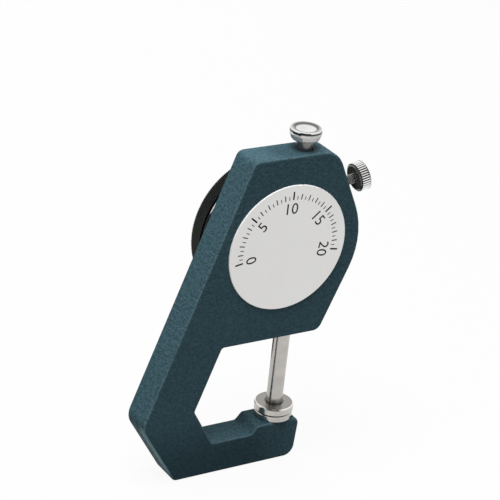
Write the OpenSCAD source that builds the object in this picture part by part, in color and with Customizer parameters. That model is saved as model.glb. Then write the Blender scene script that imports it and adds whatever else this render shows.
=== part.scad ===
// Dial thickness gauge: a cast C shaped frame, a sprung spindle with a rack cut in it,
// and a dial whose pointer makes one turn over the whole travel of the spindle.
// Millimetres. Origin on the spindle axis at the base plane, Z up, dial toward -Y.

/* [Measuring travel] */
// Full lift of the spindle, shown by one turn of the pointer
travel = 20; // [17:0.5:20.5]
// Free height left above the foot at full lift
lift_spare = 0.8; // [0.6:0.1:3]
// Teeth on the pinion
pinion_teeth = 20; // [18:1:24]

/* [Frame] */
// Thickness of the frame
frame_t = 8.5; // [8.5:0.1:10.5]
// Radius of the rounded rim around both faces of the frame
edge_r = 0.6; // [0.4:0.1:0.9]
// Top edge of the body above the dial axis
body_up = 23.9; // [22.5:0.1:28]
// Underside of the body below the dial axis
body_down = 25; // [22.5:0.1:28]
// Top edge of the body, from the dial axis to the spine side
top_spine = 11.7; // [11:0.1:13]
// Top edge of the body, from the dial axis to the spindle side
top_free = 11.88; // [11.5:0.02:14]
// Blunt knee of the body on the spindle side, from the dial axis
knee_out = 23; // [21:0.02:24]
// Height of that knee above the dial axis
knee_up = -0.2; // [-3:0.1:2]
// Underside of the body, from the dial axis to the spindle side
under_free = 12.48; // [11:0.01:13]
// Top corner of the throat, from the dial axis to the spine side
throat_top = 15.5; // [13:0.05:16.5]
// Deepest point of the throat, from the dial axis
throat_back = 21.6; // [20:0.1:23.5]
// Lower corner of the throat, from the dial axis
throat_low = 15.7; // [13:0.1:18]
// Height of the deepest point of the throat above the base
throat_h = 18.8; // [15:0.05:20]
// Outer corner of the spine, from the dial axis
spine_out = 36.3; // [34.5:0.05:38]
// Height of the outer corner of the spine above the base
spine_h = 16.8; // [14:0.1:20]
// Base edge on the spine side, from the dial axis
base_spine = 25.8; // [23:0.01:28]
// Top of the lower arm above the base
arm_h = 8.85; // [7.5:0.05:9.5]
// Top of the pad under the anvil above the base
pad_h = 10.9; // [9.8:0.1:12]
// End of the lower arm, from the spindle axis
arm_end = 5.6; // [5.3:0.1:7]
// Top of the ramp up to the pad, from the dial axis to the spine side
ramp_at = 2.5; // [2.2:0.1:4]
// Run of the ramp up to the pad
ramp_run = 1.8; // [1.4:0.1:3]

/* [Spindle] */
// Radius of the spindle
spindle_r = 2.1; // [1.9:0.05:2.1]
// Radius of the flat contact foot
foot_r = 5; // [4:0.1:5.2]
// Thickness of the contact foot
foot_t = 2.1; // [1.8:0.1:3]
// Radius of the anvil disc
anvil_r = 4.85; // [4:0.05:5]
// Thickness of the anvil disc
anvil_t = 1.7; // [1.2:0.1:3]
// Radius of the lift knob
knob_r = 3.95; // [3.4:0.05:6]
// Height of the lift knob
knob_h = 3.1; // [2.8:0.1:5]
// Bare spindle between the body and the knob at rest
knob_gap = 2.3; // [1:0.1:4]

/* [Lock screw] */
// Upward tilt of the lock screw
lock_tilt = 12; // [4:1:14]
// Radius of the knurled head
lock_head_r = 3.75; // [3:0.05:5]
// Length of the knurled head
lock_head_t = 3.1; // [2:0.1:4]
// Distance of the head from the spindle axis along the screw
lock_reach = 16.3; // [16:0.1:19]
// Radius of the threaded shank
lock_r = 1.25; // [1.1:0.05:1.3]
// Ribs around the head
lock_ribs = 36; // [24:1:44]

/* [Dial] */
// Thickness of the bezel wall outside the spigot
bezel_wall = 2; // [1.6:0.1:2.6]
// Ribs around the bezel
bezel_ribs = 280; // [160:20:320]
// Thickness of the crystal
crystal_t = 1; // [0.8:0.1:1.5]
// Radius of the plate on the back
label_r = 16.5; // [12:0.5:17]
// Thickness of the plate on the back
label_t = 0.5; // [0.4:0.1:0.8]

/* [Hidden] */
$fn = 96;
eps = 0.02;
run_fit = 0.04;
press_fit = 0.01;

// rack and pinion
pitch_r = travel / (2 * PI);
tooth_m = 2 * pitch_r / pinion_teeth;
rack_line = 0.56 * spindle_r;
dial_x = pitch_r + rack_line;
rack_pitch = PI * tooth_m;
tooth_play = 0.05;
rack_tip = rack_line + tooth_m;
rack_root = rack_line - 1.25 * tooth_m;
pinion_w = 2;

// heights of the measuring line
contact_z = pad_h + anvil_t;
foot_top = contact_z + foot_t;
under_z = foot_top + travel + lift_spare;
dial_h = under_z + body_down;
top_z = dial_h + body_up;

// depths, counted forward from the front face of the frame
back_wall = 1.8;
floor_d = back_wall - frame_t;
mid_d = -frame_t / 2;
plate_t = 0.8;
spring_w = 0.7;
spring_d = -plate_t - 0.35 - spring_w;
spigot_d = 1.5;
washer_t = 0.35;
dial_d = spigot_d + 0.15;
dial_t = 0.4;
crystal_d = dial_d + dial_t + 2.15;
crystal_ring_t = 0.3;
bezel_d = crystal_d + crystal_t + crystal_ring_t + 0.1;
label_sink = 0.2;

// radii around the dial axis
pin_r = 0.6;
pocket_r = sqrt(pow(travel / 2 + 2.2, 2) + dial_x * dial_x);
plate_r = pocket_r + 2.3;
spigot_r = plate_r + 2;
bezel_in = spigot_r + 0.1;
dial_r = spigot_r - 0.1;
sight_r = dial_r - 0.9;
bezel_r = spigot_r + bezel_wall;
screw_at = (pocket_r + plate_r) / 2;
arbor_r = 0.75;
shoulder_r = 1.3;
collet_r = 2.4;
spring_r = 0.7 * pocket_r;
stud_r = 0.5;
bearing_r = 1.8;
wire_r = 0.3;
wire_d = 0.98;

// guides of the spindle
bush_r = spindle_r + 0.9;
bush_skin = 1;
skin_gap = 0.15;
bush_end = sqrt(pow(pocket_r, 2) - pow(dial_x - bush_r, 2));
pin_z = dial_h - travel / 2 - 0.5;
stud_link_r = 1;
anvil_stem_r = 1.5;
anvil_stem_l = 5.5;

// lock screw
lock_z = dial_h + travel / 2 + 0.4;
pad_r = 0.9;
pad_tip_r = 0.45;
pad_l = 1.6;
lock_gap = 0.25;
lock_neck = 5.6;
lock_tip = (spindle_r + pad_tip_r * sin(lock_tilt)) / cos(lock_tilt) + lock_gap;

// outline of the frame: x, z and corner radius, counterclockwise seen from the dial
OUTLINE = [
    [dial_x + top_spine, top_z, 2],
    [dial_x - top_free, top_z, 6.6],
    [dial_x - knee_out, dial_h + knee_up, 21],
    [dial_x - under_free, under_z, 2.6],
    [dial_x + throat_top, under_z, 0.9],
    [dial_x + throat_back, throat_h, 1],
    [dial_x + throat_low, arm_h, 1.2],
    [dial_x + ramp_at + ramp_run, arm_h, 1],
    [dial_x + ramp_at, pad_h, 1],
    [-arm_end, pad_h, 1.8],
    [0.8 - arm_end, 0, 3],
    [dial_x + base_spine, 0, 1.6],
    [dial_x + spine_out, spine_h, 5]
];
CORNERS = len(OUTLINE);
ARC = 7;
RIM = 4;

// helpers
function unit(v) = v / norm(v);
function flat(i) = [OUTLINE[i % CORNERS][0], OUTLINE[i % CORNERS][1]];
function bend(p, a, b, r, d) =
    let (half = acos(a * b) / 2)
    let (c = p + unit(a + b) * r / sin(half))
    let (s = p + a * r / tan(half) - c)
    let (e = p + b * r / tan(half) - c)
    let (a0 = atan2(s[1], s[0]))
    let (turn = atan2(cross(s, e), s * e))
    let (rd = cross(-a, b) > 0 ? r - d : r + d)
    [for (k = [0:ARC]) c + rd * [cos(a0 + turn * k / ARC), sin(a0 + turn * k / ARC)]];
function ring(d) = [for (i = [0:CORNERS - 1])
    each bend(flat(i), unit(flat(i + CORNERS - 1) - flat(i)), unit(flat(i + 1) - flat(i)), OUTLINE[i][2], d)];
function rim_y(k) = k <= RIM ? edge_r * (1 - cos(90 * k / RIM)) : frame_t - rim_y(2 * RIM + 1 - k);
function rim_in(k) = edge_r * (1 - sin(90 * min(k, 2 * RIM + 1 - k) / RIM));
function arc_of(i) = [for (k = [0:ARC]) i * (ARC + 1) + k];
function first_of(i) = i * (ARC + 1);
function last_of(i) = i * (ARC + 1) + ARC;
function turned(list) = [for (i = [len(list) - 1:-1:0]) list[i]];
function cap() = [
    concat(arc_of(0), arc_of(1), arc_of(2), arc_of(3), arc_of(4), [first_of(5)]),
    concat([last_of(12), first_of(0)], arc_of(5)),
    concat(arc_of(11), arc_of(12), [last_of(5)], arc_of(6)),
    concat([last_of(10), first_of(11), last_of(6)], arc_of(7), arc_of(8), arc_of(9),
        [for (k = [0:ARC - 1]) first_of(10) + k])
];
function shift(list, n) = [for (i = list) i + n];
function ribs(n, r, deep) = [for (i = [0:n - 1]) each [
    r * [cos(360 * i / n), sin(360 * i / n)],
    (r - deep) * [cos(360 * (i + 0.5) / n), sin(360 * (i + 0.5) / n)]
]];
function involute(rb, r) = let (t = sqrt(max(0, pow(r / rb, 2) - 1))) t * 180 / PI - atan(t);

// a solid blank of the frame with rounded rims
module frame_blank() {
    n = CORNERS * (ARC + 1);
    layers = 2 * RIM + 2;
    points = [for (k = [0:layers - 1]) each
        [for (p = ring(rim_in(k))) [p[0], rim_y(k) - frame_t / 2, p[1]]]];
    sides = [for (k = [0:layers - 2]) each
        [for (i = [0:n - 1]) [k * n + i, k * n + (i + 1) % n, (k + 1) * n + (i + 1) % n, (k + 1) * n + i]]];
    front = [for (f = cap()) [for (i = [0:len(f) - 1]) f[(len(f) - i) % len(f)]]];
    back = [for (f = cap()) shift(f, (layers - 1) * n)];
    polyhedron(points = points, faces = concat(front, back, sides));
}

// children stand on the front face of the frame, on the dial axis, facing forward
module on_dial() {
    translate([dial_x, -frame_t / 2, dial_h])
        rotate([90, 0, 0])
            children();
}

// a disc or drum between two depths around the dial axis
module drum(r, d0, d1) {
    translate([0, 0, d0])
        cylinder(r = r, h = d1 - d0);
}

// children lie along the lock screw, counted outward from the spindle axis
module on_lock() {
    translate([0, 0, lock_z])
        rotate([0, lock_tilt - 90, 0])
            children();
}

module round_bar(r, z0, z1) {
    translate([0, 0, z0])
        cylinder(r = r, h = z1 - z0);
}

module plate_screw_places() {
    for (a = [90, 210, 330])
        rotate([0, 0, a])
            translate([screw_at, 0, 0])
                children();
}

// sub-parts
module frame() {
    color([0.17, 0.27, 0.29])
        difference() {
            union() {
                frame_blank();
                on_dial()
                    drum(spigot_r, -1, spigot_d);
            }
            on_dial() {
                drum(pocket_r, floor_d, spigot_d + 1);
                drum(plate_r + run_fit, -plate_t, spigot_d + 1);
                drum(label_r + run_fit, -frame_t - 1, label_sink - frame_t);
                drum(bearing_r + press_fit, floor_d - 1.4, floor_d + 1);
                plate_screw_places()
                    drum(0.55, -plate_t - 2.8, 0);
                translate([0, 0, wire_d])
                    rotate_extrude()
                        translate([spigot_r - 0.4, -wire_r - 0.05])
                            square([1, 2 * wire_r + 0.1]);
            }
            round_bar(bush_r + press_fit, under_z + bush_skin, dial_h - travel / 3);
            round_bar(bush_r + press_fit, dial_h + travel / 3, top_z - bush_skin);
            round_bar(spindle_r + skin_gap, under_z - 1, dial_h);
            round_bar(spindle_r + skin_gap, dial_h, top_z + 1);
            round_bar(anvil_stem_r + press_fit, pad_h - anvil_stem_l - 0.3, pad_h + 1);
            on_lock()
                round_bar(lock_r + run_fit, spindle_r + 0.2, lock_reach - 1);
            translate([-pin_r - 0.05, frame_t / 2 - back_wall - 0.5, pin_z - pin_r - 0.3])
                cube([2 * pin_r + 0.1, 1.45, travel + 2 * pin_r + 0.6]);
        }
}

module back_plate() {
    color([0.84, 0.84, 0.83])
        on_dial()
            translate([0, 0, label_sink - frame_t])
                rotate([180, 0, 0])
                    rotate_extrude()
                        polygon([[0, 0], [label_r, 0], [label_r, label_t - 0.1],
                            [label_r - 0.1, label_t], [0, label_t]]);
}

module anvil() {
    color([0.7, 0.69, 0.66])
        translate([0, 0, pad_h])
            rotate_extrude()
                polygon([[0, -anvil_stem_l], [anvil_stem_r, -anvil_stem_l], [anvil_stem_r, 0],
                    [anvil_r - 0.15, 0], [anvil_r, 0.15], [anvil_r, anvil_t - 0.35],
                    [anvil_r - 0.35, anvil_t], [0, anvil_t]]);
}

module bush(z0, z1) {
    color([0.76, 0.6, 0.3])
        difference() {
            round_bar(bush_r, z0, z1);
            round_bar(spindle_r + run_fit, z0 - 1, z1 + 1);
        }
}

module lower_bush() {
    bush(under_z + bush_skin, dial_h - bush_end);
}

module upper_bush() {
    bush(dial_h + bush_end, top_z - bush_skin);
}

module movement_plate() {
    color([0.78, 0.64, 0.36])
        on_dial()
            difference() {
                drum(plate_r, -plate_t, 0);
                drum(bearing_r + press_fit, -plate_t - 1, 1);
                translate([spring_r + stud_r + 0.15, 0, 0])
                    drum(stud_r + press_fit, -plate_t - 1, 1);
                plate_screw_places()
                    drum(0.6, -plate_t - 1, 1);
            }
}

module plate_screws() {
    color([0.62, 0.62, 0.6])
        on_dial()
            plate_screw_places()
                difference() {
                    union() {
                        drum(0.5, -plate_t - 2.6, 0.1);
                        drum(1, 0, 0.6);
                    }
                    translate([-2, -0.15, 0.35])
                        cube([4, 0.3, 1]);
                }
}

module bearing(d0, d1) {
    color([0.76, 0.6, 0.3])
        on_dial()
            difference() {
                drum(bearing_r, d0, d1);
                drum(arbor_r + run_fit, d0 - 1, d1 + 1);
            }
}

module front_bearing() {
    bearing(-plate_t, 0.2);
}

module rear_bearing() {
    bearing(floor_d - 1.35, floor_d);
}

module spring_stud() {
    color([0.6, 0.6, 0.58])
        on_dial()
            translate([spring_r + stud_r + 0.15, 0, 0])
                drum(stud_r, spring_d - 0.1, 0);
}

module return_spring() {
    turns = 5;
    steps = 100;
    leaf = 0.16;
    rise = spring_r - collet_r - 0.12;
    at = [for (i = [0:steps]) [collet_r + 0.12 + rise * i / steps, 360 * turns * i / steps]];
    outer = [for (p = at) (p[0] + leaf / 2) * [cos(p[1]), sin(p[1])]];
    inner = [for (p = at) (p[0] - leaf / 2) * [cos(p[1]), sin(p[1])]];
    color([0.35, 0.38, 0.45])
        on_dial()
            translate([0, 0, spring_d])
                linear_extrude(height = spring_w)
                    polygon(concat(outer, turned(inner)));
}

module bezel_washer() {
    color([0.85, 0.85, 0.84])
        on_dial()
            difference() {
                drum(bezel_r - 0.15, 0, washer_t);
                drum(spigot_r + 0.15, -1, washer_t + 1);
            }
}

module bezel_wire() {
    color([0.6, 0.6, 0.58])
        on_dial()
            translate([0, 0, wire_d])
                rotate([0, 0, 100])
                    rotate_extrude(angle = 340)
                        translate([spigot_r - 0.05, 0])
                            circle(r = wire_r);
}

module spindle() {
    low = -ceil(travel / rack_pitch) - 2;
    tip = rack_pitch / 4 + tooth_m * tan(20);
    root = rack_pitch / 4 - 1.25 * tooth_m * tan(20);
    teeth = [for (k = [low:2]) let (z = dial_h + k * rack_pitch) each [
        [rack_tip, z - tip], [rack_root, z - root], [rack_root, z + root], [rack_tip, z + tip]]];
    z0 = dial_h + (low - 0.5) * rack_pitch;
    z1 = dial_h + 2.5 * rack_pitch;
    color([0.69, 0.68, 0.65])
        difference() {
            union() {
                round_bar(spindle_r, foot_top, top_z + knob_gap);
                round_bar(stud_link_r, foot_top - 1.3, foot_top + 1);
                round_bar(stud_link_r, top_z + knob_gap - 1, top_z + knob_gap + 1.5);
            }
            rotate([90, 0, 0])
                linear_extrude(height = 4 * spindle_r, center = true)
                    polygon(concat([[rack_tip, z0]], teeth, [[rack_tip, z1],
                        [2 * spindle_r, z1], [2 * spindle_r, z0]]));
            translate([0, 0.4, pin_z])
                rotate([-90, 0, 0])
                    cylinder(r = pin_r + press_fit, h = 2 * spindle_r);
        }
}

module guide_pin() {
    color([0.55, 0.55, 0.54])
        translate([0, 0.45, pin_z])
            rotate([-90, 0, 0])
                cylinder(r = pin_r, h = frame_t / 2 - back_wall + 0.3);
}

module contact_foot() {
    color([0.72, 0.71, 0.68])
        translate([0, 0, contact_z])
            difference() {
                rotate_extrude()
                    polygon([[0, 0], [foot_r - 0.35, 0], [foot_r, 0.3], [foot_r, foot_t - 0.4],
                        [foot_r - 0.12, foot_t - 0.12], [foot_r - 0.4, foot_t], [0, foot_t]]);
                round_bar(stud_link_r + press_fit, foot_t - 1.35, foot_t + 1);
            }
}

module lift_knob() {
    color([0.8, 0.8, 0.79])
        translate([0, 0, top_z + knob_gap])
            difference() {
                rotate_extrude()
                    polygon([[0, 0], [0.7 * knob_r, 0], [0.86 * knob_r, 0.08 * knob_h],
                        [0.93 * knob_r, 0.2 * knob_h], [0.97 * knob_r, 0.38 * knob_h], [knob_r, 0.5 * knob_h],
                        [knob_r, 0.62 * knob_h], [0.965 * knob_r, 0.65 * knob_h],
                        [0.965 * knob_r, 0.69 * knob_h], [knob_r, 0.72 * knob_h],
                        [knob_r, 0.82 * knob_h], [0.97 * knob_r, 0.92 * knob_h],
                        [0.9 * knob_r, knob_h], [0.84 * knob_r, knob_h], [0.7 * knob_r, 0.94 * knob_h],
                        [0.62 * knob_r, 0.87 * knob_h], [0, 0.84 * knob_h]]);
                round_bar(stud_link_r + press_fit, -1, 1.55);
            }
}

module pinion() {
    base_r = pitch_r * cos(20);
    tip_r = pitch_r + tooth_m;
    root_r = pitch_r - 1.25 * tooth_m;
    half = 90 / pinion_teeth - tooth_play / 2 / pitch_r * 180 / PI + involute(base_r, pitch_r);
    flank = [base_r, pitch_r, (pitch_r + tip_r) / 2, tip_r];
    tooth = concat([[root_r, -half]], [for (r = flank) [r, involute(base_r, r) - half]],
        [for (r = turned(flank)) [r, half - involute(base_r, r)]], [[root_r, half]]);
    gear = [for (i = [0:pinion_teeth - 1]) each
        [for (p = tooth) let (a = 180 + p[1] + 360 * i / pinion_teeth) p[0] * [cos(a), sin(a)]]];
    color([0.76, 0.6, 0.3])
        on_dial() {
            translate([0, 0, mid_d - pinion_w / 2])
                linear_extrude(height = pinion_w)
                    polygon(gear);
            drum(shoulder_r, floor_d + 0.05, -plate_t - 0.05);
            drum(arbor_r, floor_d - 1.3, dial_d + dial_t + 1.3);
        }
}

module spring_collet() {
    color([0.76, 0.6, 0.3])
        on_dial()
            difference() {
                drum(collet_r, spring_d - 0.05, spring_d + spring_w + 0.05);
                drum(shoulder_r + press_fit, spring_d - 1, 0);
            }
}

module pointer_hub() {
    color([0.76, 0.6, 0.3])
        on_dial()
            difference() {
                union() {
                    drum(1.1, dial_d + dial_t + 0.35, dial_d + dial_t + 0.75);
                    drum(1.6, dial_d + dial_t + 0.95, dial_d + dial_t + 1.4);
                    drum(0.98, dial_d + dial_t + 0.35, dial_d + dial_t + 1.4);
                }
                drum(arbor_r + press_fit, 0, dial_d + dial_t + 1.35);
            }
}

module pointer_hand() {
    reach = sight_r - 2.6;
    color([0.08, 0.08, 0.09])
        on_dial()
            translate([0, 0, dial_d + dial_t + 0.75])
                difference() {
                    union() {
                        linear_extrude(height = 0.2)
                            polygon([[-0.1, reach], [-0.75, 0.35 * reach], [-0.5, 0], [-0.8, -0.36 * reach],
                                [0.8, -0.36 * reach], [0.5, 0], [0.75, 0.35 * reach], [0.1, reach]]);
                        drum(1.5, 0, 0.2);
                    }
                    drum(1, -1, 1);
                }
}

module bezel() {
    back_d = washer_t + 0.05;
    knurl_d = washer_t + 0.75;
    face_d = bezel_d - 0.6;
    color([0.06, 0.06, 0.065])
        on_dial()
            difference() {
                union() {
                    rotate_extrude()
                        polygon([[sight_r, back_d], [bezel_r - 0.55, back_d], [bezel_r - 0.4, back_d + 0.15],
                            [bezel_r - 0.4, face_d], [bezel_r - 1.2, bezel_d], [sight_r, bezel_d]]);
                    difference() {
                        translate([0, 0, knurl_d])
                            linear_extrude(height = face_d - knurl_d)
                                polygon(ribs(bezel_ribs, bezel_r, 0.22));
                        drum(bezel_r - 0.6, 0, bezel_d);
                    }
                }
                drum(bezel_in, 0, dial_d + dial_t);
                drum(dial_r + 0.03, crystal_d, bezel_d + 1);
                translate([0, 0, wire_d])
                    rotate_extrude()
                        translate([spigot_r - 0.2, -wire_r - 0.1])
                            square([0.6, 2 * wire_r + 0.2]);
            }
}

module dial_face() {
    color([0.95, 0.95, 0.93])
        on_dial()
            difference() {
                drum(dial_r, dial_d, dial_d + dial_t);
                drum(2 * arbor_r, 0, dial_d + dial_t + 1);
            }
}

module crystal() {
    color([0.85, 0.9, 0.92, 0.35])
        on_dial()
            drum(dial_r, crystal_d, crystal_d + crystal_t);
}

module crystal_ring() {
    color([0.08, 0.08, 0.085])
        on_dial()
            difference() {
                drum(dial_r, crystal_d + crystal_t, crystal_d + crystal_t + crystal_ring_t);
                drum(sight_r, crystal_d, bezel_d + 1);
            }
}

module lock_pad() {
    color([0.76, 0.6, 0.3])
        on_lock()
            rotate_extrude()
                polygon([[0, lock_tip], [pad_tip_r, lock_tip], [pad_r, lock_tip + 0.4],
                    [pad_r, lock_tip + pad_l], [0, lock_tip + pad_l]]);
}

module lock_screw() {
    core = lock_head_r - 0.4;
    color([0.66, 0.65, 0.62])
        on_lock()
            difference() {
                union() {
                    round_bar(lock_r, lock_tip + pad_l, lock_reach - lock_neck);
                    round_bar(lock_r - 0.2, lock_reach - lock_neck - 1, lock_reach + 1);
                    rotate_extrude()
                        translate([0, lock_reach])
                            polygon([[0, 0], [core - 0.3, 0], [core, 0.3], [core, lock_head_t - 0.3],
                                [core - 0.3, lock_head_t], [0, lock_head_t]]);
                    difference() {
                        translate([0, 0, lock_reach + 0.35])
                            linear_extrude(height = lock_head_t - 0.7)
                                polygon(ribs(lock_ribs, lock_head_r, 0.36));
                        round_bar(core - 0.2, lock_reach, lock_reach + lock_head_t);
                    }
                }
                round_bar(0.6 * lock_head_r, lock_reach + lock_head_t - 0.3, lock_reach + lock_head_t + 1);
            }
}

frame();
back_plate();
anvil();
lower_bush();
upper_bush();
movement_plate();
plate_screws();
front_bearing();
rear_bearing();
spring_stud();
return_spring();
bezel_washer();
bezel_wire();
spindle();
guide_pin();
contact_foot();
lift_knob();
pinion();
spring_collet();
pointer_hub();
pointer_hand();
bezel();
dial_face();
crystal();
crystal_ring();
lock_pad();
lock_screw();
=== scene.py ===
"""Looks of a dial thickness gauge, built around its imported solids."""

from __future__ import annotations

import logging
import math
from dataclasses import dataclass
from enum import Enum
from typing import Any, Dict, List, Sequence, Tuple, Union

import bpy
from mathutils import Euler, Matrix, Vector


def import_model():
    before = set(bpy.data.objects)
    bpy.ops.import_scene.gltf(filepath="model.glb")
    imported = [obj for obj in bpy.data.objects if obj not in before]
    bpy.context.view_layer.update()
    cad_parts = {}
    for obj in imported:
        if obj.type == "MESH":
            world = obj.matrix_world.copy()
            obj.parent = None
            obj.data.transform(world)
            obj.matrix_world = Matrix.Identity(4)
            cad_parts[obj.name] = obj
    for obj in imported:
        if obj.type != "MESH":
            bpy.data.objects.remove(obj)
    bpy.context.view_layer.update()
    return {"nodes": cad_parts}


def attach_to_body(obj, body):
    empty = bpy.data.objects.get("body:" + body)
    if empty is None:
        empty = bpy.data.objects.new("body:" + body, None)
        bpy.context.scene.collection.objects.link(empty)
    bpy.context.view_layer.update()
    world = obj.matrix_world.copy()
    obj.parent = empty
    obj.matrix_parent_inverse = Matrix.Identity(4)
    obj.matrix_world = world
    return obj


LOG = logging.getLogger("gauge")
MM = 0.001
FAR = 1000.0
NOISE_MEAN = 0.5
WHITE = (1.0, 1.0, 1.0)
FULL_SIZE = (1.0, 1.0, 1.0)
ZERO = (0.0, 0.0, 0.0)
MIX_FACTOR, MIX_FIRST, MIX_SECOND, MIX_RESULT = 0, 6, 7, 2
Colour = Tuple[float, float, float]
Triple = Tuple[float, float, float]
Span = Tuple[float, float]
Piece = bpy.types.Object
Solids = Dict[str, Piece]
Material = bpy.types.Material
Node = bpy.types.Node
Socket = bpy.types.NodeSocket


class Val:
    """A number that varies over a surface, carried by a socket."""

    def __init__(self, tree: Tree, socket: Socket) -> None:
        """Keeps the tree that owns the socket."""
        self.tree = tree
        self.socket = socket

    def _math(self, operation: str, first: Number, second: Number) -> Val:
        """Adds one Math node and returns its value."""
        made = self.tree.node("ShaderNodeMath", {"operation": operation}, {0: first, 1: second})
        return self.tree.val(made, 0)

    def __add__(self, other: Number) -> Val:
        """Sum."""
        return self._math("ADD", self, other)

    def __mul__(self, other: Number) -> Val:
        """Product."""
        return self._math("MULTIPLY", self, other)

    def __sub__(self, other: Number) -> Val:
        """Difference."""
        return self._math("SUBTRACT", self, other)

    def __rsub__(self, other: Number) -> Val:
        """Reflected difference, so that 1 - mask works."""
        return self._math("SUBTRACT", other, self)

    def __pow__(self, other: Number) -> Val:
        """Power."""
        return self._math("POWER", self, other)

    __radd__ = __add__
    __rmul__ = __mul__


Number = Union[Val, float]


def mixed(first: Val, second: Val, share: float) -> Val:
    """Two values as one, with a share of the second."""
    return first * (1.0 - share) + second * share


def length(first: Val, second: Val) -> Val:
    """Length of a flat vector with the given parts."""
    return (first * first + second * second) ** 0.5


def toned(colour: Colour, tone: float) -> Colour:
    """A colour made darker or lighter by a factor."""
    red, green, blue = (min(1.0, tone * part) for part in colour)
    return red, green, blue


@dataclass(frozen=True)
class Rise:
    """Limits between which a mask climbs smoothly from 0 to 1."""

    low: float
    high: float

    def of(self, value: Val) -> Val:
        """The mask over a value.

        Args:
            value: What is compared with the limits.

        Returns:
            Zero below the limits and one above them.
        """
        inputs = {"Value": value, "From Min": self.low, "From Max": self.high}
        made = value.tree.node("ShaderNodeMapRange", {"interpolation_type": "SMOOTHSTEP"}, inputs)
        return value.tree.val(made, 0)

    def below(self, value: Val) -> Val:
        """The opposite mask, which falls from 1 to 0."""
        return 1.0 - self.of(value)


@dataclass(frozen=True)
class Noise:
    """A fractal noise: cells in a metre, detail and roughness."""

    scale: float
    detail: float = 2.0
    rough: float = 0.5


@dataclass(frozen=True)
class Relief:
    """A fine relief of a finish: depth in metres and strength."""

    depth: float
    strength: float


class Tree:
    """A node tree that starts empty."""

    def __init__(self, tree: bpy.types.NodeTree) -> None:
        """Takes over a tree and empties it."""
        self.tree = tree
        self.tree.nodes.clear()

    def node(self, kind: str, settings: Dict[str, Any], inputs: Dict[Any, Any]) -> Node:
        """Adds a node.

        Args:
            kind: The node's type.
            settings: Properties, set first.
            inputs: Values or links of its sockets, by name or index.

        Returns:
            The new node.
        """
        made = self.tree.nodes.new(kind)
        for key, value in settings.items():
            setattr(made, key, value)
        for key, value in inputs.items():
            self.feed(made.inputs[key], value)
        return made

    def feed(self, socket: Socket, value: Any) -> None:
        """Links or sets one input socket.

        Args:
            socket: The input.
            value: A varying number, an output socket, a colour or a plain value.
        """
        source = value.socket if isinstance(value, Val) else value
        if isinstance(source, Socket):
            self.tree.links.new(source, socket)
        elif socket.type == "RGBA":
            socket.default_value = (*source, 1.0)
        else:
            socket.default_value = source

    def val(self, node: Node, output: Union[int, str]) -> Val:
        """Wraps an output of a node."""
        return Val(self, node.outputs[output])

    def seen(self) -> Val:
        """Tells the rays that show a thing as it is from those that only light others.

        Returns:
            One on rays from the camera, off mirrors and through glass, and zero on the rest.
        """
        path = self.node("ShaderNodeLightPath", {}, {})
        shown = self.val(path, "Is Camera Ray") + self.val(path, "Is Glossy Ray")
        return Rise(0.0, 1.0).of(shown + self.val(path, "Is Transmission Ray"))

    def blend(self, out: Node, factor: Val, first: Socket, second: Socket) -> None:
        """Feeds an output node with two shaders mixed by a factor."""
        mix = self.node("ShaderNodeMixShader", {}, {0: factor, 1: first, 2: second})
        self.feed(out.inputs["Surface"], mix.outputs[0])


class Graph(Tree):
    """The node tree of one material."""

    def __init__(self, name: str) -> None:
        """Starts a material that holds only its output and a principled shader.

        Args:
            name: The material's name.
        """
        self.material = bpy.data.materials.new(name)
        self.material.use_nodes = True
        super().__init__(self.material.node_tree)
        self.shader = self.node("ShaderNodeBsdfPrincipled", {}, {})
        self.out = self.node("ShaderNodeOutputMaterial", {}, {"Surface": self.shader.outputs[0]})

    def split(self, vector: Socket) -> Tuple[Val, Val, Val]:
        """The three parts of a vector."""
        made = self.node("ShaderNodeSeparateXYZ", {}, {0: vector})
        return self.val(made, 0), self.val(made, 1), self.val(made, 2)

    def facing(self) -> Tuple[Val, Val, Val]:
        """The three parts of the surface's own normal."""
        return self.split(self.node("ShaderNodeTexCoord", {}, {}).outputs["Normal"])

    def place(self, scale: Triple = FULL_SIZE, turn: Triple = ZERO, origin: Triple = ZERO) -> Socket:
        """Object coordinates moved to an origin, turned and then stretched.

        Args:
            scale: Stretch along the turned axes.
            turn: Euler angles in radians that lay the piece along the axes.
            origin: Point of the piece that becomes zero, in metres.

        Returns:
            The vector socket.
        """
        at = self.node("ShaderNodeTexCoord", {}, {}).outputs["Object"]
        moved = self.node("ShaderNodeVectorMath", {"operation": "SUBTRACT"}, {0: at, 1: origin})
        laid = {"Vector": moved.outputs[0], "Rotation": turn}
        at = self.node("ShaderNodeMapping", {"vector_type": "POINT"}, laid).outputs[0]
        stretched = self.node("ShaderNodeVectorMath", {"operation": "MULTIPLY"}, {0: at, 1: scale})
        return stretched.outputs[0]

    def noise(self, vector: Socket, kind: Noise) -> Val:
        """A noise over a vector, around its mean."""
        inputs = {"Vector": vector, "Scale": kind.scale, "Detail": kind.detail, "Roughness": kind.rough}
        return self.val(self.node("ShaderNodeTexNoise", {}, inputs), 0)

    def tint(self, factor: Number, first: Any, second: Any) -> Socket:
        """Mixes two colours.

        Args:
            factor: Share of the second colour.
            first: A colour, or the socket of one.
            second: The same.

        Returns:
            The socket of the mixed colour.
        """
        inputs = {MIX_FACTOR: factor, MIX_FIRST: first, MIX_SECOND: second}
        made = self.node("ShaderNodeMix", {"data_type": "RGBA"}, inputs)
        return made.outputs[MIX_RESULT]

    def bump(self, height: Val, relief: Relief) -> None:
        """Gives the shader's normal a relief."""
        inputs = {"Strength": relief.strength, "Distance": relief.depth, "Height": height}
        self.set(Normal=self.node("ShaderNodeBump", {}, inputs).outputs[0])

    def set(self, **inputs: Any) -> None:
        """Feeds the shader's own sockets; underscores stand for spaces."""
        for key, value in inputs.items():
            self.feed(self.shader.inputs[key.replace("_", " ")], value)


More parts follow.
